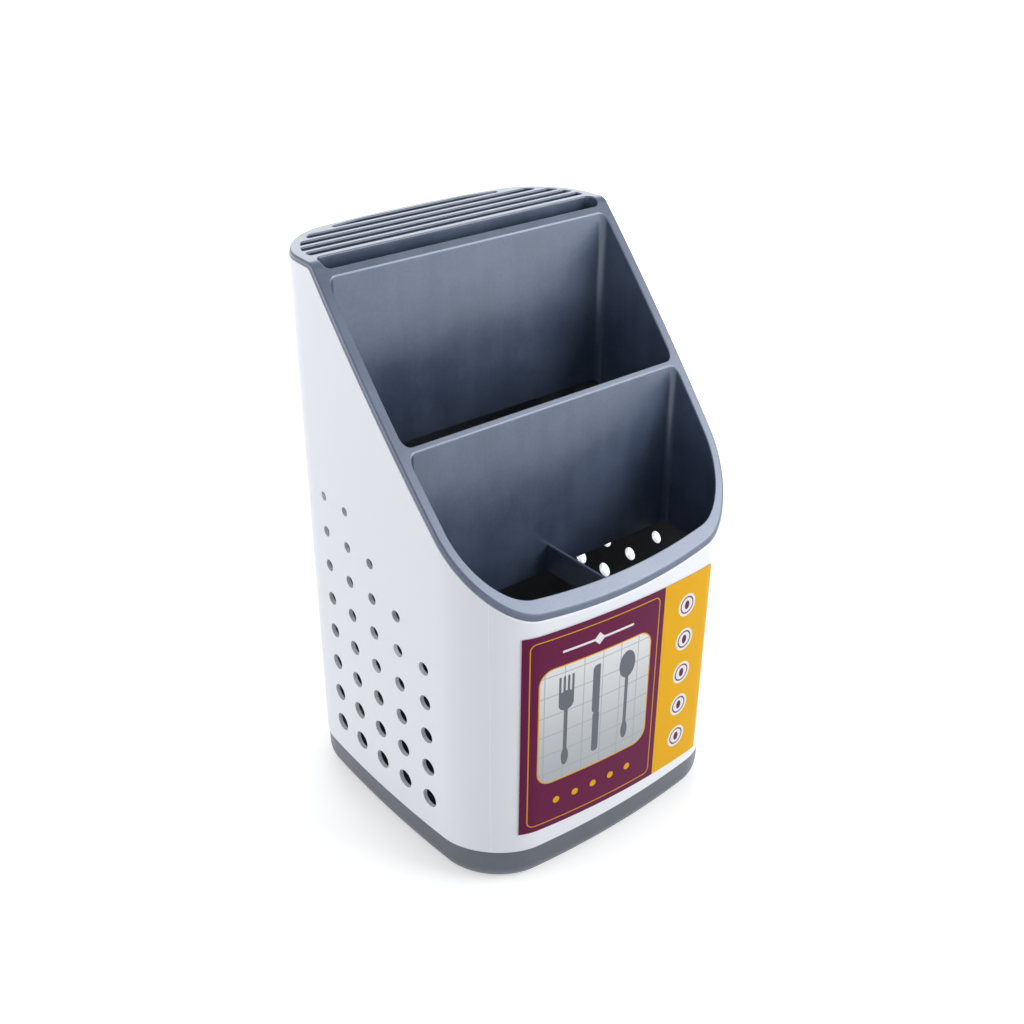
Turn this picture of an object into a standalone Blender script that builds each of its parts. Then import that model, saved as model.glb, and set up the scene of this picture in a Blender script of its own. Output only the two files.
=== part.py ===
"""Countertop cutlery holder: a perforated sleeve on a drip tray, with a lift-out top insert.

Metres, +Z up. The origin is on the table under the middle of the holder, and the low front
faces -Y. The sleeve's outline is a rounded rectangle with bowed sides, and every moulding is
built from that one outline, inset and cut by the same sloping top.
"""

import math

import bmesh
import bpy
from mathutils import Matrix, Vector

# Outline, given on the table and at the top, so that the walls have their draft
total_height = 0.260
half_width_at_table = 0.0721
half_width_at_top = 0.0748
front_depth_at_table = 0.0693
front_depth_at_top = 0.0722
back_depth_at_table = 0.0717
back_depth_at_top = 0.0674
side_bow = 0.0040
front_bow = 0.0066
corner_radius = 0.0263

# Sloping top, seen from the side: level behind a rounded bend, then straight down to the front lip
bend_y = 0.0301
bend_radius = 0.0060
lip_height = 0.137

# Drip tray
tray_height = 0.0173
tray_inset = 0.0006
tray_wall = 0.0025
tray_edge_radius = 0.0085
tray_floor = 0.0022
foot_height = 0.0012
foot_width = 0.0080
foot_chamfer = 0.0004
spigot_height = 0.0090
spigot_wall = 0.0020
spigot_clearance = 0.0004

# Sleeve
seat_clearance = 0.0003
sleeve_wall = 0.0018
sleeve_edge = 0.0006

# Round vents through both sides of the sleeve, in a square grid that steps down to the front
vent_pitch = 0.0173
front_vent_y = -0.0347
bottom_vent_height = 0.0349
bottom_vent_diameter = 0.0088
top_vent_diameter = 0.0042
vents_per_column = (5, 6, 7, 8, 8)

# Lift-out insert
insert_clearance = 0.0010
insert_wall = 0.0019
flange_inset = 0.0009
flange_thickness = 0.0019
pocket_corner = 0.0035
partition_y = 0.0264
partition_wall = 0.0021
divider_y = -0.0235
divider_wall = 0.0018
skirt_height = 0.118
rear_skirt_height = 0.172
cross_wall = 0.0018
cross_top_height = 0.131

# Knife grille in the level top
grille_depth = 0.0070
slot_width = 0.0039
slot_pitch = 0.0067
front_slot_y = 0.0389
wide_slot_width = 0.0075
wide_slot_corner = 0.0030
slot_margin = 0.0003

# Self-adhesive label on the front
label_width = 0.1055
label_height = 0.1014
label_middle_x = -0.0021
label_middle_height = 0.0763
label_thickness = 0.0003
label_clearance = 0.0003
label_drop = 0.0042

# How finely curves are divided
side_steps = 7
corner_steps = 7
fillet_steps = 4
edge_steps = 4
bend_steps = 3
vent_sides = 12
label_steps = 32
overrun = 0.010

sleeve_bottom = tray_height + seat_clearance
front_face_y = -(front_depth_at_table + front_bow)
slope_angle = math.atan2(total_height - lip_height, bend_y - front_face_y)
bend_centre_y = bend_y + bend_radius * math.tan(slope_angle / 2)
spigot_inset = sleeve_wall + spigot_clearance
skirt_inset = sleeve_wall + insert_clearance
cavity_inset = skirt_inset + insert_wall
slot_end_inset = cavity_inset + slot_margin
grille_back_y = back_depth_at_top + front_bow - slot_end_inset
slot_count = int((grille_back_y - front_slot_y - slot_width / 2) / slot_pitch) + 1
divider_front = divider_y - divider_wall / 2
divider_rear = divider_y + divider_wall / 2
partition_front = partition_y - partition_wall / 2
partition_rear = partition_y + partition_wall / 2


def clear_scene():
    for old in list(bpy.data.objects):
        bpy.data.objects.remove(old, do_unlink=True)


def new_collection(name):
    collection = bpy.data.collections.new(name)
    bpy.context.scene.collection.children.link(collection)
    return collection


def plastic(name, colour, roughness):
    material = bpy.data.materials.new(name)
    material.use_nodes = True
    shader = material.node_tree.nodes["Principled BSDF"]
    shader.inputs["Base Color"].default_value = (*colour, 1)
    shader.inputs["Roughness"].default_value = roughness
    shader.inputs["Metallic"].default_value = 0
    return material


def between(at_table, at_top, height):
    return at_table + (at_top - at_table) * height / total_height


def outline(height, inset, plumb_back=False):
    """Points of the outline at a height, moved inwards by the inset, anticlockwise from the back left.

    The sleeve's back leans in towards the top. A plumb back hangs straight down from there, so that
    the insert lifts out past it.
    """
    half_width = between(half_width_at_table, half_width_at_top, height) - inset
    front = between(front_depth_at_table, front_depth_at_top, height) - inset
    back = between(back_depth_at_table, back_depth_at_top, height) - inset
    if plumb_back:
        back = min(back, back_depth_at_top - inset)
    half_depth = (front + back) / 2
    middle_y = (back - front) / 2
    radius = corner_radius - inset
    straight_x = half_width - radius
    straight_y = half_depth - radius
    points = []
    corners = ((-1, -1, math.pi), (1, -1, 1.5 * math.pi), (1, 1, 0), (-1, 1, 0.5 * math.pi))
    ends = ((-1, 1), (-1, -1), (1, -1), (1, 1))
    for index, (side, way, start) in enumerate(corners):
        old_side, old_way = ends[index]
        along_side = index in (0, 2)
        for step in range(side_steps):
            share = step / side_steps
            if along_side:
                points.append((side * half_width, straight_y * (old_way + (way - old_way) * share)))
            else:
                points.append((straight_x * (old_side + (side - old_side) * share), way * half_depth))
        for step in range(corner_steps):
            turn = start + 0.5 * math.pi * step / corner_steps
            points.append((
                side * straight_x + radius * math.cos(turn),
                way * straight_y + radius * math.sin(turn),
            ))
    bowed = []
    for x, y in points:
        across = x / half_width
        along = y / half_depth
        bowed.append(Vector((
            x + side_bow * across * (1 - along**2),
            middle_y + y + front_bow * along * (1 - across**2),
        )))
    return bowed


def clip(points, y_limit, keep_above):
    """The part of a closed outline above or below a line of constant y."""
    kept = []
    for index, point in enumerate(points):
        previous = points[index - 1]
        inside = (point.y >= y_limit) == keep_above
        was_inside = (previous.y >= y_limit) == keep_above
        if inside != was_inside:
            share = (y_limit - previous.y) / (point.y - previous.y)
            kept.append(previous.lerp(point, share))
        if inside:
            kept.append(point)
    return kept


def fillet_sharp_corners(points, radius):
    """Rounds the corners that turn sharply, and leaves the points of the curved stretches."""
    rounded = []
    sharp = []
    for index, point in enumerate(points):
        before = (point - points[index - 1]).normalized()
        after = (points[(index + 1) % len(points)] - point).normalized()
        if before.dot(after) < math.cos(math.radians(45)):
            sharp.append(point)
    for index, point in enumerate(points):
        if point not in sharp:
            if all((point - corner).length > 1.2 * radius for corner in sharp):
                rounded.append(point)
            continue
        before = (points[index - 1] - point).normalized()
        after = (points[(index + 1) % len(points)] - point).normalized()
        half_turn = before.angle(after) / 2
        centre = point + (before + after).normalized() * radius / math.sin(half_turn)
        start = (point + before * radius / math.tan(half_turn) - centre).normalized()
        end = (point + after * radius / math.tan(half_turn) - centre).normalized()
        for step in range(fillet_steps + 1):
            arm = start.slerp(end, step / fillet_steps)
            rounded.append(centre + arm * radius)
    return rounded


def pocket_outline(height, inset, low_y=None, high_y=None, radius=0):
    """The insert's outline at a height between two lines of constant y, with any rounded corners."""
    points = outline(height, inset, plumb_back=True)
    if low_y is not None:
        points = clip(points, low_y, True)
    if high_y is not None:
        points = clip(points, high_y, False)
    if radius:
        points = fillet_sharp_corners(points, radius)
    return points


def add_object(name, bm, collection, material=None):
    mesh = bpy.data.meshes.new(name)
    bm.to_mesh(mesh)
    bm.free()
    made = bpy.data.objects.new(name, mesh)
    collection.objects.link(made)
    if material:
        mesh.materials.append(material)
        mesh.shade_smooth()
        mesh.set_sharp_from_angle(angle=math.radians(35))
    else:
        made.hide_render = True
        made.display_type = "WIRE"
    return made


def loft(name, rings, collection, material=None, closed=False):
    """A solid through rings of as many points each, with end caps or, if closed, back to the first ring."""
    bm = bmesh.new()
    loops = [[bm.verts.new(point) for point in ring] for ring in rings]
    pairs = list(zip(loops, loops[1:]))
    if closed:
        pairs.append((loops[-1], loops[0]))
    for lower, upper in pairs:
        for index, corner in enumerate(lower):
            bm.faces.new((lower[index - 1], corner, upper[index], upper[index - 1]))
    if not closed:
        bm.faces.new(loops[0])
        bm.faces.new(loops[-1])
    bmesh.ops.recalc_face_normals(bm, faces=bm.faces)
    return add_object(name, bm, collection, material)


def ring(height, inset, plumb_back=False):
    return [(point.x, point.y, height) for point in outline(height, inset, plumb_back)]


def prism(name, low, high, inset, low_y=None, high_y=None, radius=0):
    """A cutter with the outline as its section, from one height to another.

    It keeps the lower end's points where a clipped outline would gain or lose one on the way up.
    """
    lower = pocket_outline(low, inset, low_y, high_y, radius)
    upper = pocket_outline(high, inset, low_y, high_y, radius)
    if len(upper) != len(lower):
        upper = lower
    rings = [
        [(point.x, point.y, low) for point in lower],
        [(point.x, point.y, high) for point in upper],
    ]
    return loft(name, rings, cutters)


def side_profile(name, points):
    """A cutter with the given outline of (y, z) points, as wide as the holder and more."""
    reach = half_width_at_top + side_bow + overrun
    rings = [[(x, y, z) for y, z in points] for x in (-reach, reach)]
    return loft(name, rings, cutters)


def top_line(depth):
    """The (y, z) points of the top, this far under its surface, from past the front to past the back."""
    radius = bend_radius - depth
    far_front = front_face_y - overrun
    far_back = back_depth_at_table + front_bow + overrun
    arc = []
    for step in range(bend_steps + 1):
        turn = slope_angle * (1 - step / bend_steps)
        arc.append((
            bend_centre_y - radius * math.sin(turn),
            total_height - bend_radius + radius * math.cos(turn),
        ))
    slope_y, slope_height = arc[0]
    front_height = slope_height - (slope_y - far_front) * math.tan(slope_angle)
    return [(far_front, front_height), *arc, (far_back, total_height - depth)]


def boolean(target, tool, operation):
    modifier = target.modifiers.new(tool.name, "BOOLEAN")
    modifier.operation = operation
    modifier.object = tool
    modifier.solver = "EXACT"


def build_tray(material):
    """One loft: under the floor, round the foot, up the side, over the shoulder and down into the bowl."""
    floor_top = foot_height + tray_floor
    foot_inset = tray_inset + tray_edge_radius
    bowl_inset = spigot_inset + spigot_wall
    bowl_radius = tray_edge_radius - tray_wall
    section = [(foot_inset + foot_width + foot_chamfer, foot_height), (foot_inset + foot_width, 0)]
    for step in range(edge_steps + 1):
        turn = 0.5 * math.pi * step / edge_steps
        section.append((
            foot_inset - tray_edge_radius * math.sin(turn),
            tray_edge_radius - tray_edge_radius * math.cos(turn),
        ))
    section += [
        (tray_inset, tray_height),
        (spigot_inset, tray_height),
        (spigot_inset, tray_height + spigot_height),
        (bowl_inset, tray_height + spigot_height),
    ]
    for step in range(edge_steps + 1):
        turn = 0.5 * math.pi * step / edge_steps
        section.append((
            bowl_inset + bowl_radius * (1 - math.cos(turn)),
            floor_top + bowl_radius * (1 - math.sin(turn)),
        ))
    rings = [ring(height, inset) for inset, height in section]
    return loft("drip_tray", rings, parts, material)


def build_vent_cutter():
    """All the vents as level pins through both sides, each row smaller than the one below."""
    bm = bmesh.new()
    rows = max(vents_per_column)
    reach = half_width_at_top + side_bow + overrun
    for column, count in enumerate(vents_per_column):
        for row in range(count):
            share = row / (rows - 1)
            diameter = bottom_vent_diameter + (top_vent_diameter - bottom_vent_diameter) * share
            place = Matrix.Translation((
                0,
                front_vent_y + column * vent_pitch,
                bottom_vent_height + row * vent_pitch,
            ))
            bmesh.ops.create_cone(
                bm,
                cap_ends=True,
                segments=vent_sides,
                radius1=diameter / 2,
                radius2=diameter / 2,
                depth=2 * reach,
                matrix=place @ Matrix.Rotation(math.radians(90), 4, "Y"),
            )
    return add_object("vent_cutter", bm, cutters)


def build_sleeve(material):
    """The sleeve as a closed loft, up its outside and down its inside, then trimmed and drilled."""
    over = total_height + overrun
    section = (
        (sleeve_edge, sleeve_bottom),
        (0, sleeve_bottom + sleeve_edge),
        (0, over),
        (sleeve_wall, over),
        (sleeve_wall, sleeve_bottom),
    )
    rings = [ring(height, inset) for inset, height in section]
    sleeve = loft("sleeve", rings, parts, material, closed=True)
    edge = top_line(flange_thickness + seat_clearance)
    above = over + overrun
    trim = side_profile("sleeve_trim", [*edge, (edge[-1][0], above), (edge[0][0], above)])
    boolean(sleeve, trim, "DIFFERENCE")
    boolean(sleeve, build_vent_cutter(), "DIFFERENCE")
    return sleeve


def build_insert(material):
    """A flange over the sleeve's edge, a skirt inside it, two open compartments and the knife grille."""
    low = skirt_height - overrun
    high = total_height + overrun
    rings = [ring(height, flange_inset, plumb_back=True) for height in (low, high)]
    insert = loft("insert", rings, parts, material)
    flange = side_profile("flange_profile", [*top_line(flange_thickness), *reversed(top_line(0))])
    boolean(insert, flange, "INTERSECT")

    core = prism("insert_core", low, high, skirt_inset)
    middle = top_line(flange_thickness / 2)
    lower_edge = [
        (middle[-1][0], rear_skirt_height),
        (partition_y, rear_skirt_height),
        (divider_y, skirt_height),
        (middle[0][0], skirt_height),
    ]
    boolean(core, side_profile("core_profile", [*middle, *lower_edge]), "INTERSECT")
    boolean(insert, core, "UNION")

    rear = prism("rear_pocket", low, high, cavity_inset, divider_rear, partition_front, pocket_corner)
    front = prism("front_pocket", low, high, cavity_inset, None, divider_front, pocket_corner)
    bay_top = total_height - grille_depth
    bay = prism("knife_bay", low, bay_top, cavity_inset, partition_rear, None, pocket_corner)
    for cutter in (rear, front, bay):
        boolean(insert, cutter, "DIFFERENCE")
    slot_low = bay_top - overrun
    wide_start = partition_rear + slot_margin
    wide_end = wide_start + wide_slot_width
    wide = prism("wide_slot", slot_low, high, slot_end_inset, wide_start, wide_end, wide_slot_corner)
    boolean(insert, wide, "DIFFERENCE")
    for number in range(slot_count):
        start = front_slot_y + number * slot_pitch
        slot = prism(f"slot_{number + 1}", slot_low, high, slot_end_inset, start, start + slot_width)
        boolean(insert, slot, "DIFFERENCE")
    boolean(insert, build_cross_wall(), "UNION")
    return insert


def build_cross_wall():
    """The low plate that halves the front compartment, rooted in the divider and in the front wall."""
    front_end = front_face_y + skirt_inset + insert_wall / 2
    rear_end = divider_front + divider_wall / 4
    bm = bmesh.new()
    size = Matrix.Diagonal((cross_wall, rear_end - front_end, cross_top_height - skirt_height, 1))
    middle_y = (rear_end + front_end) / 2
    middle_height = (cross_top_height + skirt_height) / 2
    place = Matrix.Translation((0, middle_y, middle_height))
    bmesh.ops.create_cube(bm, size=1, matrix=place @ size)
    return add_object("cross_plate", bm, cutters)


def front_surface_y(x, height):
    """Where the sleeve's front face is, at a width and a height."""
    points = [point for point in outline(height, 0) if point.y < 0]
    points.sort(key=lambda point: point.x)
    for left, right in zip(points, points[1:]):
        if left.x <= x <= right.x:
            return left.y + (right.y - left.y) * (x - left.x) / (right.x - left.x)
    return points[0].y


def build_label(material):
    """A thin skin that follows the bowed front of the sleeve."""
    bm = bmesh.new()
    bmesh.ops.create_grid(bm, x_segments=label_steps, y_segments=1, size=0.5)
    for vert in bm.verts:
        x = label_middle_x + vert.co.x * label_width
        height = label_middle_height + vert.co.y * label_height - vert.co.x * label_drop
        vert.co = (x, front_surface_y(x, height) - label_clearance, height)
    label = add_object("front_label", bm, parts, material)
    skin = label.modifiers.new("thickness", "SOLIDIFY")
    skin.thickness = label_thickness
    skin.offset = 1
    return label


clear_scene()
parts = new_collection("cutlery_holder")
cutters = new_collection("cutters")
slate = plastic("slate_plastic", (0.105, 0.125, 0.165), 0.42)
tray_slate = plastic("tray_plastic", (0.115, 0.130, 0.155), 0.45)
white = plastic("white_plastic", (0.80, 0.81, 0.84), 0.35)
paper = plastic("label_film", (0.16, 0.012, 0.065), 0.30)

build_tray(tray_slate)
build_sleeve(white)
build_insert(slate)
build_label(paper)
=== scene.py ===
import math

import bpy
from mathutils import Matrix, Vector


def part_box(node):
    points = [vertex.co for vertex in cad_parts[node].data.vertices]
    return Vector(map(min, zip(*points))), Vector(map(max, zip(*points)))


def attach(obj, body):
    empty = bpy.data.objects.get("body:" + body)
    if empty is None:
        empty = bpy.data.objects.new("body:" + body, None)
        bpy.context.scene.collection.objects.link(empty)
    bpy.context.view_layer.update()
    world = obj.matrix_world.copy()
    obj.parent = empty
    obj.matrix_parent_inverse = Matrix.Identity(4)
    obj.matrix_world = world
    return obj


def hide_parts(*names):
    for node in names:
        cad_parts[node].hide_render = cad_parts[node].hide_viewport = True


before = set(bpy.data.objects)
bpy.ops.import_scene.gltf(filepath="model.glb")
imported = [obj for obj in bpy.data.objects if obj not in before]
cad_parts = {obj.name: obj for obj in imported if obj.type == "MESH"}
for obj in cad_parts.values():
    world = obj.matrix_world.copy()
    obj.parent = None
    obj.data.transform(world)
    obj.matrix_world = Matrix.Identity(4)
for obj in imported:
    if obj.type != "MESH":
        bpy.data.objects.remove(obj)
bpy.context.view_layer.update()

# Sizes in metres, as in the solids that the fine mouldings replace. Only flange_inset,
# rear_skirt_height and the narrow slots differ a little, to follow the photograph.
total_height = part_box("insert")[1].z
tray_top = 0.0173
sleeve_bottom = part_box("sleeve")[0].z
half_width_at_table = 0.0721
half_width_at_top = 0.0748
front_depth_at_table = 0.0693
front_depth_at_top = 0.0722
back_depth_at_table = 0.0717
back_depth_at_top = 0.0674
side_bow = 0.0040
front_bow = 0.0066
corner_radius = 0.0263
bend_y = 0.0301
bend_radius = 0.0060
lip_height = 0.137
front_face_y = -(front_depth_at_table + front_bow)
slope_angle = math.atan2(total_height - lip_height, bend_y - front_face_y)
bend_centre_y = bend_y + bend_radius * math.tan(slope_angle / 2)
bend_steps = 12

tray_inset = 0.0006
tray_edge_radius = 0.0085
tray_wall = 0.0025
tray_floor = 0.0022
foot_height = 0.0012
foot_width = 0.0080
spigot_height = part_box("drip_tray")[1].z - tray_top
spigot_wall = 0.0020
spigot_inset = 0.0022
shoulder_edge = 0.0007

sleeve_wall = 0.0018
sleeve_edge = 0.0006
rim_edge = 0.0004
flange_thickness = 0.0019
seat_clearance = 0.0003
vent_pitch = 0.0173
front_vent_y = -0.0347
bottom_vent_height = 0.0349
bottom_vent_diameter = 0.0088
top_vent_diameter = 0.0042
vents_per_column = (5, 6, 7, 8, 8)

insert_clearance = 0.0010
insert_wall = 0.0019
flange_inset = 0.0003
skirt_inset = sleeve_wall + insert_clearance
cavity_inset = skirt_inset + insert_wall
pocket_corner = 0.0035
partition_y = 0.0264
partition_wall = 0.0021
divider_y = -0.0235
divider_wall = 0.0018
skirt_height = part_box("insert")[0].z
rear_skirt_height = 0.1752
cross_wall = 0.0018
cross_top_height = 0.131
grille_depth = 0.0070
slot_count = 5
slot_width = 0.0039
slot_pitch = 0.0067
front_slot_y = 0.0389
slot_corner = 0.0010
slot_overrun = 0.0005
back_slot_inset = 0.0033
slot_reaches = (None, None, None, 0.0605, 0.044)
corner_clear = 2.2
wide_slot_width = 0.0075
wide_slot_corner = 0.0030
slot_margin = 0.0003
rim_reach = 0.0020
flange_edge = 0.0010
mouth_edge = 0.0006

label_width = 0.1055
label_height = 0.1014
label_middle_x = -0.0021
label_middle_height = 0.0763
label_lift = 0.0001
label_thickness = 0.0003
label_drop = 0.0042

overrun = 0.010
facet_depth = 0.00006
corner_steps = 24
side_cuts = 47
tray_edge_steps = 12
bowl_edge_steps = 8
pocket_corner_steps = 6
flange_edge_steps = 5
edge_steps = 4
vent_sides = 32
label_columns = 96
label_rows = 24
search_steps = 40

camera_place = (-0.32566, -0.39783, 0.41905)
camera_azimuth = -39.22
camera_elevation = 28.793
camera_roll = 0.096
camera_lens = 45.917
sensor_width = 36
world_level = 0.40
floor_glow = 0.42
glow_distance = 0.85
glow_blur = 0.55

sharp_turn = math.radians(30)
smooth_turn = math.radians(42)
flat_turn = math.radians(0.04)
merge_distance = 0.00002
tiny = 1e-5
tinier = 1e-6
inward_share = 0.5
upright_limit = 0.3


def deselect_all():
    if bpy.context.mode != "OBJECT":
        bpy.ops.object.mode_set(mode="OBJECT")
    bpy.ops.object.select_all(action="DESELECT")


def make_active(obj):
    deselect_all()
    obj.select_set(True)
    bpy.context.view_layer.objects.active = obj


def new_primitive(name):
    """Names the primitive that was just added and puts its place and size into its mesh."""
    obj = bpy.context.object
    obj.name = name
    obj.data.name = name
    make_active(obj)
    bpy.ops.object.transform_apply(location=True, rotation=True, scale=True)
    return obj


def edit(obj, mode="VERT"):
    make_active(obj)
    bpy.ops.object.mode_set(mode="EDIT")
    bpy.ops.mesh.select_mode(type=mode)
    bpy.ops.mesh.select_all(action="DESELECT")
    bpy.ops.object.mode_set(mode="OBJECT")


def select_edges(obj, wanted):
    """Selects the edges whose two end points pass the test, and stays in edit mode."""
    edit(obj, "EDGE")
    points = obj.data.vertices
    for edge in obj.data.edges:
        first, second = (points[index].co for index in edge.vertices)
        edge.select = wanted(first, second)
    bpy.ops.object.mode_set(mode="EDIT")


def select_faces(obj, wanted):
    """Selects the faces whose middle and normal pass the test, and stays in edit mode."""
    edit(obj, "FACE")
    for face in obj.data.polygons:
        face.select = wanted(face.center, face.normal)
    bpy.ops.object.mode_set(mode="EDIT")


def apply_modifier(obj, kind, **settings):
    make_active(obj)
    modifier = obj.modifiers.new(kind.lower(), kind)
    for name, value in settings.items():
        setattr(modifier, name, value)
    bpy.ops.object.modifier_apply(modifier=modifier.name)


def combine(obj, tool, operation):
    """Joins or cuts with a Boolean, and removes the tool."""
    apply_modifier(obj, "BOOLEAN", operation=operation, object=tool, solver="EXACT")
    bpy.data.objects.remove(tool, do_unlink=True)


def between(at_table, at_top, height):
    return at_table + (at_top - at_table) * height / total_height


def straight_block(name, inset, low, high):
    """A block with the outline on the table as its section, its corners rounded."""
    inset += facet_depth
    half_width = half_width_at_table - inset
    front = front_depth_at_table - inset
    back = back_depth_at_table - inset
    bpy.ops.mesh.primitive_plane_add(size=1, location=(0, (back - front) / 2, low))
    bpy.context.object.scale = (2 * half_width, front + back, 1)
    block = new_primitive(name)
    radius = corner_radius - inset
    bpy.ops.object.mode_set(mode="EDIT")
    bpy.ops.mesh.select_all(action="SELECT")
    bpy.ops.mesh.bevel(affect="VERTICES", offset=radius, segments=corner_steps, profile=0.5)
    bpy.ops.mesh.delete(type="ONLY_FACE")
    select_edges(block, lambda first, second: (first - second).length > radius)
    bpy.ops.mesh.subdivide(number_cuts=side_cuts)
    bpy.ops.mesh.select_all(action="SELECT")
    bpy.ops.mesh.edge_face_add()
    bpy.ops.mesh.extrude_region_move(TRANSFORM_OT_translate={"value": (0, 0, high - low)})
    bpy.ops.mesh.select_all(action="SELECT")
    bpy.ops.mesh.normals_make_consistent(inside=False)
    bpy.ops.object.mode_set(mode="OBJECT")
    return block


def bow_point(point, plumb_back=False):
    """Where a point of the straight block lies on the tapered holder with its bowed sides."""
    height = point.z
    middle_at_table = (back_depth_at_table - front_depth_at_table) / 2
    half_depth_at_table = (back_depth_at_table + front_depth_at_table) / 2
    across = point.x / half_width_at_table
    along = (point.y - middle_at_table) / half_depth_at_table
    half_width = between(half_width_at_table, half_width_at_top, height)
    front = between(front_depth_at_table, front_depth_at_top, height)
    back = between(back_depth_at_table, back_depth_at_top, height)
    if plumb_back:
        back = min(back, back_depth_at_top)
    half_depth = (front + back) / 2
    return Vector((
        across * (half_width + side_bow * (1 - along**2)),
        (back - front) / 2 + along * (half_depth + front_bow * (1 - across**2)),
        height,
    ))


def bow(obj, plumb_back=False):
    for vertex in obj.data.vertices:
        vertex.co = bow_point(vertex.co, plumb_back)
    obj.data.update()


def bowed_block(name, inset, low, high, plumb_back=False):
    block = straight_block(name, inset, low, high)
    bow(block, plumb_back)
    return block


def top_height(y, depth=0):
    """The height of the top at a distance from the middle, this far under its surface."""
    radius = bend_radius - depth
    past_bend = bend_centre_y - y
    if past_bend <= 0:
        return total_height - depth
    if past_bend < radius * math.sin(slope_angle):
        return total_height - bend_radius + math.sqrt(radius**2 - past_bend**2)
    tangent = total_height - bend_radius + radius * math.cos(slope_angle)
    return tangent - (past_bend - radius * math.sin(slope_angle)) * math.tan(slope_angle)


def above_top(name, depth):
    """A cutter for all that lies above the sloping top: a box whose underside is bent to it."""
    width = 4 * half_width_at_top
    low = front_face_y - overrun
    high = back_depth_at_top + front_bow + overrun
    bpy.ops.mesh.primitive_cube_add(size=1, location=(0, (low + high) / 2, total_height))
    bpy.context.object.scale = (width, high - low, 1)
    cutter = new_primitive(name)
    bend_start = bend_centre_y - bend_radius * math.sin(slope_angle)
    for step in range(bend_steps + 1):
        y = bend_start + (bend_centre_y - bend_start) * step / bend_steps
        bpy.ops.object.mode_set(mode="EDIT")
        bpy.ops.mesh.select_all(action="SELECT")
        bpy.ops.mesh.bisect(plane_co=(0, y, 0), plane_no=(0, 1, 0))
        bpy.ops.object.mode_set(mode="OBJECT")
    for vertex in cutter.data.vertices:
        if vertex.co.z < total_height:
            vertex.co.z = top_height(vertex.co.y, depth)
        else:
            vertex.co.z = total_height + 3 * overrun
    return cutter


def cut_between(obj, low=None, high=None, axis=1):
    """Keeps what lies between two upright planes, with the cuts closed."""
    normal = [0, 0, 0]
    normal[axis] = 1
    for level, clear in ((low, "clear_inner"), (high, "clear_outer")):
        if level is None:
            continue
        make_active(obj)
        bpy.ops.object.mode_set(mode="EDIT")
        bpy.ops.mesh.select_all(action="SELECT")
        plane = [level * share for share in normal]
        bpy.ops.mesh.bisect(plane_co=plane, plane_no=normal, use_fill=True, **{clear: True})
        bpy.ops.object.mode_set(mode="OBJECT")


def turn_between_faces(obj):
    """For each edge, the angle between its two faces."""
    normals = {}
    for face in obj.data.polygons:
        for key in face.edge_keys:
            normals.setdefault(key, []).append(face.normal)
    return {key: pair[0].angle(pair[1], 0) for key, pair in normals.items() if len(pair) == 2}


def clean_flat_faces(obj):
    """Merges the flat pieces that the Booleans leave, so that the edges round evenly."""
    edit(obj)
    bpy.ops.object.mode_set(mode="EDIT")
    bpy.ops.mesh.select_all(action="SELECT")
    bpy.ops.mesh.remove_doubles(threshold=merge_distance)
    bpy.ops.mesh.dissolve_limited(angle_limit=flat_turn)
    bpy.ops.object.mode_set(mode="OBJECT")


def round_edges(obj, wanted, radius, segments=edge_steps, clamp=False):
    """Bevels the sharp edges whose two end points pass the test."""
    turns = turn_between_faces(obj)
    sharp = {key for key, turn in turns.items() if turn > sharp_turn}
    edit(obj, "EDGE")
    points = obj.data.vertices
    for edge in obj.data.edges:
        first, second = (points[index].co for index in edge.vertices)
        edge.select = edge.key in sharp and wanted(first, second)
    bpy.ops.object.mode_set(mode="EDIT")
    bpy.ops.mesh.bevel(
        affect="EDGES", offset=radius, segments=segments, profile=0.5, clamp_overlap=clamp
    )
    bpy.ops.object.mode_set(mode="OBJECT")


def reach_at(y, inset):
    """How far to the side the outline reaches at the top, this far back and with this inset."""
    radius = corner_radius - inset
    low, high = 0, half_width_at_table - inset
    for _ in range(search_steps):
        x = (low + high) / 2
        into_corner = max(x - half_width_at_table + corner_radius, 0)
        behind = back_depth_at_table - corner_radius + math.sqrt(radius**2 - into_corner**2)
        point = bow_point(Vector((x, behind, total_height)), plumb_back=True)
        if point.y > y:
            low = x
        else:
            high = x
    return point.x


def slot_cutter(name, inset, low, high, start, end, reach=None):
    """A cutter for a blade slot: a box whose ends are moved onto the outline, corners rounded."""
    bpy.ops.mesh.primitive_cube_add(size=1, location=(0, (start + end) / 2, (low + high) / 2))
    bpy.context.object.scale = (1, end - start, high - low)
    cutter = new_primitive(name)
    for vertex in cutter.data.vertices:
        vertex.co.x = math.copysign(reach_at(vertex.co.y, inset), vertex.co.x)
    if reach:
        cut_between(cutter, -reach, reach, axis=0)

    def standing(first, second):
        return abs(first.z - second.z) > tiny

    round_edges(cutter, standing, slot_corner, clamp=True)
    return cutter


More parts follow.
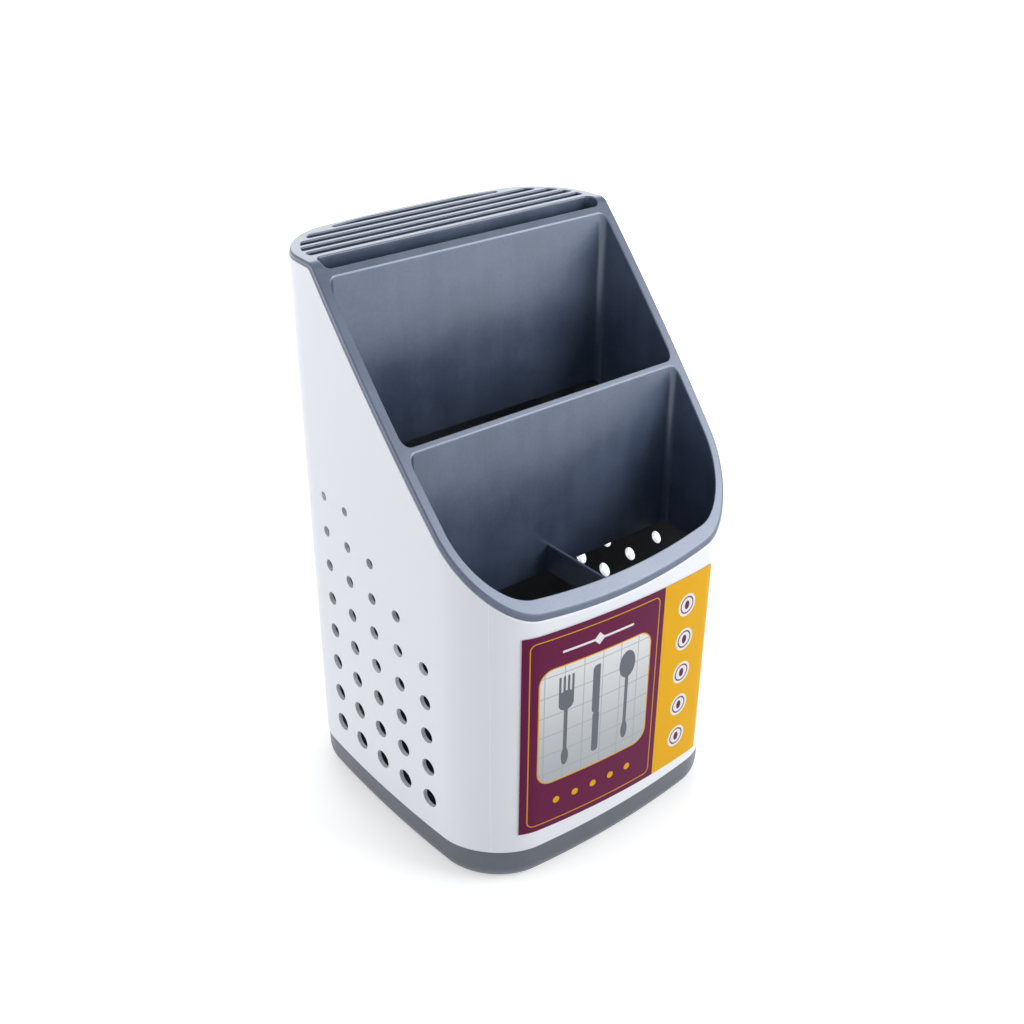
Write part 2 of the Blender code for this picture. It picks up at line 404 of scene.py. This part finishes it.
def pocket(name, inset, low, high, low_y, high_y, corner):
    """A cutter for a compartment: the inside of the outline between two planes."""
    cutter = bowed_block(name, inset, low, high, plumb_back=True)
    cut_between(cutter, low_y, high_y)
    planes = [y for y in (low_y, high_y) if y is not None]
    corners = []
    for level in planes:
        for side in (-1, 1):
            ends = [
                vertex.co
                for vertex in cutter.data.vertices
                if abs(vertex.co.y - level) < tiny and vertex.co.x * side > 0
            ]
            corners.append(sum(ends, Vector()) / len(ends))

    def upright(first, second):
        return abs(first.z - second.z) > 2 * math.hypot(first.x - second.x, first.y - second.y)

    def on_cut(first, second):
        return upright(first, second) and any(
            abs(first.y - level) < tiny and abs(second.y - level) < tiny for level in planes
        )

    def beside_cut(first, second):
        if not upright(first, second) or on_cut(first, second):
            return False
        middle = (first + second) / 2
        return any(
            math.hypot(middle.x - end.x, middle.y - end.y) < corner_clear * corner
            for end in corners
        )

    select_edges(cutter, beside_cut)
    bpy.ops.mesh.dissolve_edges(use_verts=True)
    bpy.ops.object.mode_set(mode="OBJECT")
    round_edges(cutter, on_cut, corner, segments=pocket_corner_steps)
    return cutter


def smooth(obj):
    """Smooth shading, with flat faces kept flat beside their rounded edges."""
    make_active(obj)
    bpy.ops.object.shade_smooth_by_angle(angle=smooth_turn)
    apply_modifier(obj, "WEIGHTED_NORMAL", mode="FACE_AREA", weight=90, keep_sharp=True)


def model_tray():
    """The drip tray: rounded lower edge, foot ring, shoulder, spigot and bowl."""
    tray = straight_block("tray_moulding", tray_inset, 0, tray_top)

    def bottom_edge(first, second):
        return first.z < tinier and second.z < tinier

    round_edges(tray, bottom_edge, tray_edge_radius, segments=tray_edge_steps)
    select_faces(tray, lambda middle, normal: normal.z < -0.9999)
    bpy.ops.mesh.inset(thickness=foot_width)
    bpy.ops.transform.translate(value=(0, 0, foot_height))
    select_faces(tray, lambda middle, normal: normal.z > 0.99 and middle.z > tray_top - tinier)
    bpy.ops.mesh.inset(thickness=spigot_inset - tray_inset)
    bpy.ops.mesh.extrude_region_move(TRANSFORM_OT_translate={"value": (0, 0, spigot_height)})
    bpy.ops.mesh.inset(thickness=spigot_wall)
    floor_drop = tray_top + spigot_height - foot_height - tray_floor
    bpy.ops.mesh.extrude_region_move(TRANSFORM_OT_translate={"value": (0, 0, -floor_drop)})
    floor_height = foot_height + tray_floor

    def floor_edge(first, second):
        return all(abs(point.z - floor_height) < tiny for point in (first, second))

    def shoulder(first, second):
        return min(first.z, second.z) > tray_top - tiny

    bpy.ops.object.mode_set(mode="OBJECT")
    round_edges(tray, floor_edge, tray_edge_radius - tray_wall, segments=bowl_edge_steps)
    round_edges(tray, shoulder, shoulder_edge)
    bow(tray)
    smooth(tray)
    return tray


def model_vents():
    """All the vents as level pins through both sides, each row smaller than the one below."""
    pins = []
    rows = max(vents_per_column)
    for column, count in enumerate(vents_per_column):
        for row in range(count):
            share = row / (rows - 1)
            diameter = bottom_vent_diameter * (1 - share) + top_vent_diameter * share
            y = front_vent_y + column * vent_pitch
            height = bottom_vent_height + row * vent_pitch
            bpy.ops.mesh.primitive_cylinder_add(
                vertices=vent_sides,
                radius=diameter / 2,
                depth=4 * half_width_at_top,
                location=(0, y, height),
                rotation=(0, math.radians(90), 0),
            )
            pins.append(new_primitive(f"vent_pin_{column}_{row}"))
    deselect_all()
    for pin in pins:
        pin.select_set(True)
    bpy.context.view_layer.objects.active = pins[0]
    bpy.ops.object.join()
    return pins[0]


def model_sleeve():
    """The white sleeve: a bowed wall, cut along the slope and pierced by the vents."""
    over = total_height + overrun
    sleeve = straight_block("sleeve_moulding", 0, sleeve_bottom, over)

    def bottom_edge(first, second):
        return max(first.z, second.z) < sleeve_bottom + tinier

    round_edges(sleeve, bottom_edge, sleeve_edge)
    bow(sleeve)
    inside = bowed_block("sleeve_inside", sleeve_wall, sleeve_bottom - overrun, over + overrun)
    combine(sleeve, inside, "DIFFERENCE")
    depth = flange_thickness + seat_clearance
    combine(sleeve, above_top("sleeve_trim", depth), "DIFFERENCE")

    def outer_rim(first, second):
        if min(first.z, second.z) < lip_height - overrun:
            return False
        return all(
            abs(point.z - top_height(point.y, depth)) < tiny and on_outside(point)
            for point in (first, second)
        )

    round_edges(sleeve, outer_rim, rim_edge)
    combine(sleeve, model_vents(), "DIFFERENCE")
    smooth(sleeve)
    mark_shaded_inner_side(sleeve)
    return sleeve


def mark_shaded_inner_side(sleeve):
    """Marks the faces of the inner side, which the white finish colours dark grey as painted shade. The
    rim and the vents' walls stay unmarked.
    """
    inner_shade_mask = sleeve.data.attributes.new("shaded_inner_side", "FLOAT", "FACE")
    for face in sleeve.data.polygons:
        outward = Vector((face.center.x, face.center.y, 0)).normalized()
        looks_inward = -outward.dot(face.normal) > inward_share
        is_upright = abs(face.normal.z) < upright_limit
        inner_shade_mask.data[face.index].value = 1.0 if looks_inward and is_upright else 0.0


def on_outside(point, depth=sleeve_wall / 2):
    """Whether a point lies less than this depth under the outline's surface."""
    half_width = between(half_width_at_table, half_width_at_top, point.z)
    front = between(front_depth_at_table, front_depth_at_top, point.z)
    back = between(back_depth_at_table, back_depth_at_top, point.z)
    middle_y = (back - front) / 2
    half_depth = (front + back) / 2
    across = point.x / half_width
    along = (point.y - middle_y) / half_depth
    x = abs(point.x) - side_bow * abs(across) * (1 - along**2)
    y = abs(point.y - middle_y) - front_bow * abs(along) * (1 - across**2)
    corner_x = half_width - corner_radius
    corner_y = half_depth - corner_radius
    if x > corner_x and y > corner_y:
        return math.hypot(x - corner_x, y - corner_y) > corner_radius - depth
    return x > half_width - depth or y > half_depth - depth


def model_insert():
    """The slate insert: flange, skirt, two compartments, knife bay with grille, cross plate."""
    low = skirt_height - overrun
    high = total_height + overrun
    insert = bowed_block("insert_moulding", flange_inset, low, high, plumb_back=True)
    under = bowed_block("under_flange", -overrun / 2, low - overrun, high, plumb_back=True)
    combine(under, above_top("under_trim", flange_thickness), "DIFFERENCE")
    combine(insert, above_top("flange_trim", 0), "DIFFERENCE")
    combine(insert, under, "DIFFERENCE")

    core = bowed_block("insert_core", skirt_inset, skirt_height, high, plumb_back=True)
    combine(core, above_top("core_trim", flange_thickness / 2), "DIFFERENCE")
    combine(core, below_skirt(), "DIFFERENCE")
    combine(insert, core, "UNION")

    divider_front = divider_y - divider_wall / 2
    divider_rear = divider_y + divider_wall / 2
    partition_front = partition_y - partition_wall / 2
    partition_rear = partition_y + partition_wall / 2
    bay_top = total_height - grille_depth
    slot_inset = cavity_inset + slot_margin
    slot_low = bay_top - slot_overrun
    wide_start = partition_rear + slot_margin
    wide_end = wide_start + wide_slot_width
    pockets = (
        ("rear_pocket", cavity_inset, low, high, divider_rear, partition_front, pocket_corner),
        ("front_pocket", cavity_inset, low, high, None, divider_front, pocket_corner),
        ("knife_bay", cavity_inset, low, bay_top, partition_rear, None, pocket_corner),
        ("wide_slot", slot_inset, slot_low, high, wide_start, wide_end, wide_slot_corner),
    )
    cutters = [pocket(*sizes) for sizes in pockets]
    for number in range(slot_count):
        start = front_slot_y + number * slot_pitch
        end = start + slot_width
        inset = back_slot_inset if number == slot_count - 1 else slot_inset
        reach = slot_reaches[number]
        name = f"slot_{number + 1}"
        cutters.append(slot_cutter(name, inset, slot_low, high, start, end, reach))
    for cutter in cutters:
        combine(insert, cutter, "DIFFERENCE")
    combine(insert, model_cross_plate(divider_front), "UNION")

    def on_top(first, second):
        return all(abs(point.z - top_height(point.y)) < 2 * tiny for point in (first, second))

    def outer(first, second):
        return on_top(first, second) and on_outside(first, rim_reach)

    def mouth(first, second):
        return on_top(first, second) and not on_outside(first, rim_reach)

    clean_flat_faces(insert)
    round_edges(insert, outer, flange_edge, segments=flange_edge_steps)
    round_edges(insert, mouth, mouth_edge)
    smooth(insert)
    return insert


def below_skirt():
    """A cutter for what lies under the skirt's slanted lower edge."""
    low = skirt_height - overrun
    bpy.ops.mesh.primitive_cube_add(size=1, location=(0, 0, low))
    bpy.context.object.scale = (4 * half_width_at_top, 4 * half_width_at_top, 1)
    cutter = new_primitive("skirt_trim")
    for y in (divider_y, partition_y):
        bpy.ops.object.mode_set(mode="EDIT")
        bpy.ops.mesh.select_all(action="SELECT")
        bpy.ops.mesh.bisect(plane_co=(0, y, 0), plane_no=(0, 1, 0))
        bpy.ops.object.mode_set(mode="OBJECT")
    for vertex in cutter.data.vertices:
        if vertex.co.z < low:
            vertex.co.z = low
        elif vertex.co.y > partition_y - tiny:
            vertex.co.z = rear_skirt_height
        else:
            vertex.co.z = skirt_height
    return cutter


def model_cross_plate(divider_front):
    """The low plate that halves the front compartment."""
    front_end = front_face_y + skirt_inset + insert_wall / 2
    rear_end = divider_front + divider_wall / 4
    middle = (0, (front_end + rear_end) / 2, (skirt_height + cross_top_height) / 2)
    bpy.ops.mesh.primitive_cube_add(size=1, location=middle)
    bpy.context.object.scale = (cross_wall, rear_end - front_end, cross_top_height - skirt_height)
    plate = new_primitive("cross_plate")

    def top_edge(first, second):
        return min(first.z, second.z) > cross_top_height - tiny

    round_edges(plate, top_edge, cross_wall / 3)
    return plate


def model_label():
    """The label: a thin film wrapped on the bowed front and on the start of the corners."""
    bpy.ops.mesh.primitive_grid_add(
        x_subdivisions=label_columns,
        y_subdivisions=label_rows,
        size=1,
        location=(label_middle_x, 0, label_middle_height),
        rotation=(math.radians(90), 0, 0),
    )
    bpy.context.object.scale = (label_width, label_height, 1)
    label = new_primitive("label_film")
    radius = corner_radius
    corner_start = half_width_at_table - radius
    for vertex in label.data.vertices:
        x, _, height = vertex.co
        height -= (x - label_middle_x) / label_width * label_drop
        x *= half_width_at_table / between(half_width_at_table, half_width_at_top, height)
        into_corner = max(abs(x) - corner_start, 0)
        sag = radius - math.sqrt(radius**2 - into_corner**2)
        vertex.co = bow_point(Vector((x, sag - front_depth_at_table, height)))
        vertex.co.y -= label_lift
    label.data.update()
    apply_modifier(label, "SOLIDIFY", thickness=label_thickness, offset=1)
    smooth(label)
    return label


class Value:
    """A number, colour or vector in a finish. Arithmetic on it adds the nodes that work it out."""

    def __init__(self, finish, socket):
        self.finish = finish
        self.socket = socket

    def math(self, operation, *others):
        inputs = dict(enumerate((self, *others)))
        return self.finish.node("ShaderNodeMath", {"operation": operation}, inputs)

    def __add__(self, other):
        return self.math("ADD", other)

    def __sub__(self, other):
        return self.math("SUBTRACT", other)

    def __mul__(self, other):
        return self.math("MULTIPLY", other)

    def __truediv__(self, other):
        return self.math("DIVIDE", other)

    def __radd__(self, other):
        return self.math("ADD", other)

    def __rmul__(self, other):
        return self.math("MULTIPLY", other)

    def __rsub__(self, other):
        return self.finish.node("ShaderNodeMath", {"operation": "SUBTRACT"}, {0: other, 1: self})

    def __abs__(self):
        return self.math("ABSOLUTE")

    def least(self, other):
        return self.math("MINIMUM", other)

    def most(self, other):
        return self.math("MAXIMUM", other)

    def inside(self, edge, blur):
        """1 where the value is under the edge and 0 above it, with a soft step."""
        steps = {"From Min": edge - blur, "From Max": edge + blur, "To Min": 1, "To Max": 0}
        return self.finish.node(
            "ShaderNodeMapRange",
            {"interpolation_type": "SMOOTHSTEP"},
            {"Value": self, **steps},
        )


class Finish:
    """A material built from values. Numbers that are the same all over are set on the shader."""

    def __init__(self, name, **fixed):
        self.material = bpy.data.materials.new(name)
        self.material.use_nodes = True
        self.tree = self.material.node_tree
        self.shader = self.tree.nodes["Principled BSDF"]
        for socket, value in fixed.items():
            self.shader.inputs[socket.replace("_", " ")].default_value = value

    def node(self, kind, settings=None, inputs=None, output=0):
        made = self.tree.nodes.new(kind)
        for name, value in (settings or {}).items():
            setattr(made, name, value)
        for key, value in (inputs or {}).items():
            self.feed(made.inputs[key], value)
        return Value(self, made.outputs[output])

    def feed(self, socket, value):
        if isinstance(value, Value):
            self.tree.links.new(value.socket, socket)
        else:
            socket.default_value = value

    def set(self, socket, value):
        self.feed(self.shader.inputs[socket], value)

    def place(self, output="Object"):
        return self.node("ShaderNodeTexCoord", output=output)

    def axes(self, vector):
        split = self.node("ShaderNodeSeparateXYZ", inputs={"Vector": vector})
        return [Value(self, socket) for socket in split.socket.node.outputs]

    def noise(self, vector, scale, detail=2, roughness=0.5):
        return self.node(
            "ShaderNodeTexNoise",
            inputs={"Vector": vector, "Scale": scale, "Detail": detail, "Roughness": roughness},
        )

    def stretched(self, vector, x, y, z):
        return self.node("ShaderNodeMapping", inputs={"Vector": vector, "Scale": (x, y, z)})

    def mix(self, share, first, second):
        colours = {0: share, 6: first, 7: second}
        for key in (6, 7):
            if isinstance(colours[key], tuple):
                colours[key] = (*colours[key], 1)
        return self.node("ShaderNodeMix", {"data_type": "RGBA"}, colours, output=2)

    def bump(self, height, distance, strength=1.0, under=None):
        inputs = {"Height": height, "Distance": distance, "Strength": strength}
        if under:
            inputs["Normal"] = under
        return self.node("ShaderNodeBump", inputs=inputs)


def finish_white():
    """Glossy white plastic: orange peel, a parting line up each corner painted lighter as a highlight,
    and painted shade on the inner side.
    """
    white = Finish("white_plastic", IOR=1.49, Specular_IOR_Level=0.5)
    place = white.place()
    x, y, z = white.axes(place)
    flow = white.noise(white.stretched(place, 1, 1, 0.25), 18, detail=3)
    cloud = white.noise(place, 45, detail=4, roughness=0.6)
    peel = white.noise(place, 900, detail=1)

    share = z * (1 / total_height)
    half_width = share * (half_width_at_top - half_width_at_table) + half_width_at_table
    front = share * (front_depth_at_top - front_depth_at_table) + front_depth_at_table
    back = share * (back_depth_at_top - back_depth_at_table) + back_depth_at_table
    from_middle = abs(y - (back - front) * 0.5)
    across_corner = (abs(x) - half_width) - (from_middle - (front + back) * 0.5)
    seam_offset = -0.0021
    seam_width = 0.00018
    # The parting line: a real ridge made by a bump, and a painted highlight made by a lighter colour
    # along it.
    seam_ridge_and_highlight = abs(across_corner - seam_offset).inside(seam_width, seam_width)

    darker_white = (0.755, 0.78, 0.835)
    lighter_white = (0.795, 0.818, 0.87)
    painted_seam_highlight = (0.93, 0.945, 0.97)
    # Painted shade: a dark grey for the inner side of the sleeve, which is white plastic lying in shadow.
    painted_inner_shade = (0.15, 0.155, 0.17)
    base = white.mix(flow * 0.6 + cloud * 0.4, darker_white, lighter_white)
    # Painted highlight: the parting line is coloured lighter than the white around it.
    base = white.mix(seam_ridge_and_highlight * 0.85, base, painted_seam_highlight)
    # Painted shade: the marked inner faces take the dark grey in place of the white.
    inner_shade_mask = white.node("ShaderNodeAttribute", {"attribute_name": "shaded_inner_side"}, output=2)
    white.set("Base Color", white.mix(inner_shade_mask, base, painted_inner_shade))
    white.set("Roughness", cloud * 0.10 + 0.27)
    skin = white.bump(peel, 0.00002, strength=0.35)
    white.set("Normal", white.bump(seam_ridge_and_highlight, 0.00012, strength=0.8, under=skin))
    return white.material


def finish_slate(name, dark, light):
    """Satin grey plastic: a fine texture, and cloudy flow marks down the walls."""
    slate = Finish(name, IOR=1.6, Specular_IOR_Level=1.0, Specular_Tint=(0.79, 0.87, 1.0, 1))
    place = slate.place()
    cloud = slate.noise(place, 38, detail=5, roughness=0.62)
    flow = slate.noise(slate.stretched(place, 1, 1, 0.12), 120, detail=3, roughness=0.55)
    fine = slate.noise(place, 700, detail=2)
    blend = cloud * 0.55 + flow * 0.25 + fine * 0.2
    slate.set("Base Color", slate.mix(blend.inside(0.5, 0.14), light, dark))
    slate.set("Roughness", cloud * 0.14 + flow * 0.06 + 0.25)
    slate.set("Normal", slate.bump(fine, 0.00002, strength=0.3))
    return slate.material


def box_distance(x, y, middle, half_size, corner=0.0):
    """How far a point of the print lies outside a rounded box."""
    past_x = abs(x - middle[0]) - (half_size[0] - corner)
    past_y = abs(y - middle[1]) - (half_size[1] - corner)
    out_x = past_x.most(0)
    out_y = past_y.most(0)
    outside = (out_x * out_x + out_y * out_y).math("SQRT")
    return outside + past_x.most(past_y).least(0) - corner


def round_distance(x, y, middle, radius, stretch=1.0):
    """How far a point of the print lies outside a circle, or an upright oval."""
    across = x - middle[0]
    up = (y - middle[1]) * (1 / stretch)
    return (across * across + up * up).math("SQRT") - radius


def spoon_distance(x, y, middle_x):
    bowl = round_distance(x, y, (middle_x, 71), 4.6, stretch=1.5)
    handle = box_distance(x, y, (middle_x, 50), (0.95, 17), 0.9)
    end = round_distance(x, y, (middle_x, 36), 1.9, stretch=2.4)
    return bowl.least(handle).least(end)


def fork_distance(x, y, middle_x):
    body = box_distance(x, y, (middle_x, 65.5), (3.9, 5.0), 3.6)
    handle = box_distance(x, y, (middle_x, 50), (0.95, 17), 0.9)
    end = round_distance(x, y, (middle_x, 36), 1.9, stretch=2.4)
    shape = body.least(handle).least(end)
    for offset in (-3.3, -1.1, 1.1, 3.3):
        shape = shape.least(box_distance(x, y, (middle_x + offset, 72), (0.6, 6.0), 0.6))
    return shape


def knife_distance(x, y, middle_x):
    blade = box_distance(x, y, (middle_x, 65), (2.6, 12.5), 2.4)
    back = x - (middle_x + 1.4)
    handle = box_distance(x, y, (middle_x - 0.2, 42.5), (1.8, 10.5), 1.4)
    return blade.most(back).least(handle)


def finish_label():
    """A printed film: plum ground, gold strip, pale panel with cutlery shapes, dots and rings.

    All its measures are millimetres from the lower left corner of the print.
    """
    film = Finish("label_film", IOR=1.5, Specular_IOR_Level=0.12)
    place = film.place()
    across, up, _ = film.axes(film.place("UV"))
    x = across * (label_width * 1000)
    y = up * (label_height * 1000)
    edge = 0.12

    plum = (0.105, 0.005, 0.042)
    gold = (0.70, 0.36, 0.001)
    paper = (0.72, 0.735, 0.75)
    grey = (0.13, 0.145, 0.17)
    tone = film.noise(place, 60, detail=3)
    ground = film.mix(tone, plum, (0.125, 0.007, 0.052))
    strip = film.mix(tone, gold, (0.74, 0.39, 0.002))
    strip_start = 74.7
    print_ = film.mix((x - strip_start).inside(0, edge), strip, ground)

    frame_line = abs(box_distance(x, y, (37.4, 50.7), (34.2, 47.6), 3.0)).inside(0.22, edge)
    print_ = film.mix(frame_line, print_, gold)

    panel = box_distance(x, y, (37.4, 54), (30.0, 29.5), 7.0)
    tile_x = (x * (1 / 10.0)).math("FRACT")
    tile_y = (y * (1 / 10.0)).math("FRACT")
    joint = abs(tile_x - 0.5).most(abs(tile_y - 0.5)).inside(0.475, 0.02)
    shade = ((y - 24.5) * (1 / 60)).math("POWER", 1.3)
    wall = film.mix(shade, (0.40, 0.43, 0.46), paper)
    wall = film.mix(joint * 0.75 + 0.25, (0.33, 0.35, 0.38), wall)
    print_ = film.mix(panel.inside(0, edge), print_, wall)
    print_ = film.mix(abs(panel).inside(0.3, edge), print_, gold)

    fork, knife, spoon = fork_distance(x, y, 21), knife_distance(x, y, 37.4), spoon_distance(x, y, 54)
    shapes = fork.least(knife).least(spoon)
    print_ = film.mix(shapes.inside(0, edge), print_, grey)

    dot_x = ((x - 12.4) * (1 / 10.0)).math("FRACT") * 10.0
    dots = round_distance(dot_x, y, (5.0, 13.6), 1.7).most(abs(x - 37.4) - 25)
    print_ = film.mix(dots.inside(0, edge), print_, gold)
    rule = box_distance(x, y, (37.4, 90.4), (19, 0.55), 0.5)
    lozenge = (abs(x - 37.4) + abs(y - 90.4)) - 3.0
    print_ = film.mix(rule.least(lozenge).inside(0, edge), print_, paper)

    ring_y = ((y - 5.7) * (1 / 18.0)).math("FRACT") * 18.0
    ring = round_distance(x, ring_y, (90.0, 9.0), 5.6)
    whole_rings = abs(y - label_height * 500).inside(44, edge)
    print_ = film.mix(ring.inside(0, edge) * whole_rings, print_, paper)
    print_ = film.mix(abs(ring + 1.6).inside(0.35, edge) * whole_rings, print_, plum)
    core = round_distance(x, ring_y, (90.0, 9.0), 1.5, stretch=1.5)
    print_ = film.mix(core.inside(0, edge) * whole_rings, print_, plum)

    film.set("Base Color", print_)
    film.set("Roughness", tone * 0.10 + 0.42)
    film.set("Normal", film.bump(film.noise(place, 420, detail=2), 0.00002, strength=0.25))
    return film.material


def put_on(piece, material):
    piece.data.materials.clear()
    piece.data.materials.append(material)


def dress():
    """Makes the fine pieces, attaches each one to its body, and hides the solid that it replaces."""
    tray = model_tray()
    put_on(tray, finish_slate("tray_plastic", dark=(0.031, 0.036, 0.047), light=(0.045, 0.052, 0.065)))
    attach(tray, "tray_body")
    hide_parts("drip_tray")

    sleeve = model_sleeve()
    put_on(sleeve, finish_white())
    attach(sleeve, "sleeve_body")
    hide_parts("sleeve")

    insert = model_insert()
    put_on(insert, finish_slate("slate_plastic", dark=(0.038, 0.056, 0.102), light=(0.066, 0.090, 0.150)))
    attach(insert, "insert_body")
    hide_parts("insert")

    label = model_label()
    put_on(label, finish_label())
    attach(label, "sleeve_body")
    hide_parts("front_label")


def make_floor():
    """A white table top. It looks white straight on, and keeps the shadow of the holder."""
    bpy.ops.mesh.primitive_plane_add(size=12, location=(0, 0, 0))
    floor = new_primitive("table_top")
    surface = Finish("table_white", Roughness=0.9, Specular_IOR_Level=0.1)
    surface.set("Base Color", (0.86, 0.865, 0.87, 1))
    rays = surface.node("ShaderNodeLightPath")
    outputs = rays.socket.node.outputs
    seen = Value(surface, outputs["Is Camera Ray"]).most(Value(surface, outputs["Is Glossy Ray"]))
    seen = seen.most(Value(surface, outputs["Is Transmission Ray"]))
    across, along, _ = surface.axes(surface.place())
    distance = (across * across + along * along).math("SQRT")
    near = distance.inside(glow_distance, glow_blur)
    level = near * (floor_glow - 1) + 1
    glow = surface.mix(seen * level, (0, 0, 0), (1, 1, 1))
    surface.set("Emission Color", glow)
    surface.shader.inputs["Emission Strength"].default_value = 1
    put_on(floor, surface.material)


def light_world():
    """An even white room, white where it is seen or mirrored."""
    world = bpy.data.worlds.new("white_room")
    bpy.context.scene.world = world
    world.use_nodes = True
    nodes = world.node_tree.nodes
    links = world.node_tree.links
    background = nodes["Background"]
    rays = nodes.new("ShaderNodeLightPath")
    seen = nodes.new("ShaderNodeMath")
    seen.operation = "MAXIMUM"
    links.new(rays.outputs["Is Camera Ray"], seen.inputs[0])
    links.new(rays.outputs["Is Glossy Ray"], seen.inputs[1])
    also = nodes.new("ShaderNodeMath")
    also.operation = "MAXIMUM"
    links.new(seen.outputs[0], also.inputs[0])
    links.new(rays.outputs["Is Transmission Ray"], also.inputs[1])
    level = nodes.new("ShaderNodeMix")
    level.inputs[2].default_value = world_level
    level.inputs[3].default_value = 1
    links.new(also.outputs[0], level.inputs[0])
    links.new(level.outputs[0], background.inputs["Strength"])
    background.inputs["Color"].default_value = (1, 1, 1, 1)


def add_softbox(name, azimuth, elevation, distance, size, watts):
    """A square lamp that looks at the holder. Azimuth 0 is in front, 90 to the right."""
    turn = math.radians(azimuth)
    rise = math.radians(elevation)
    aim = Vector((0, 0, total_height / 2))
    level = math.cos(rise)
    away = Vector((math.sin(turn) * level, -math.cos(turn) * level, math.sin(rise)))
    bpy.ops.object.light_add(type="AREA", location=aim + away * distance)
    lamp = bpy.context.object
    lamp.name = name
    lamp.rotation_euler = away.to_track_quat("Z", "Y").to_euler()
    lamp.data.shape = "SQUARE"
    lamp.data.size = size
    lamp.data.energy = watts


def add_camera():
    """The camera where the photograph was taken from."""
    azimuth = math.radians(camera_azimuth)
    elevation = math.radians(camera_elevation)
    level = math.cos(elevation)
    back = Vector((math.sin(azimuth) * level, -math.cos(azimuth) * level, math.sin(elevation)))
    right = Vector((math.cos(azimuth), math.sin(azimuth), 0))
    up = back.cross(right)
    roll = math.radians(camera_roll)
    tilted_right = right * math.cos(roll) + up * math.sin(roll)
    tilted_up = back.cross(tilted_right)
    turned = Matrix((tilted_right, tilted_up, back)).transposed()
    bpy.ops.object.camera_add(location=camera_place, rotation=turned.to_euler())
    camera = bpy.context.object
    camera.name = "photo_camera"
    camera.data.sensor_width = sensor_width
    camera.data.lens = camera_lens
    camera.data.clip_start = 0.01
    bpy.context.scene.camera = camera


dress()
make_floor()
light_world()
add_softbox("softbox_left_rear", azimuth=-108, elevation=14, distance=1.6, size=1.2, watts=11)
add_softbox("softbox_right_front", azimuth=40, elevation=22, distance=1.6, size=1.0, watts=18)
add_softbox("softbox_back", azimuth=146, elevation=24, distance=1.6, size=1.4, watts=13)
add_camera()
bpy.context.scene.view_settings.view_transform = "Standard"
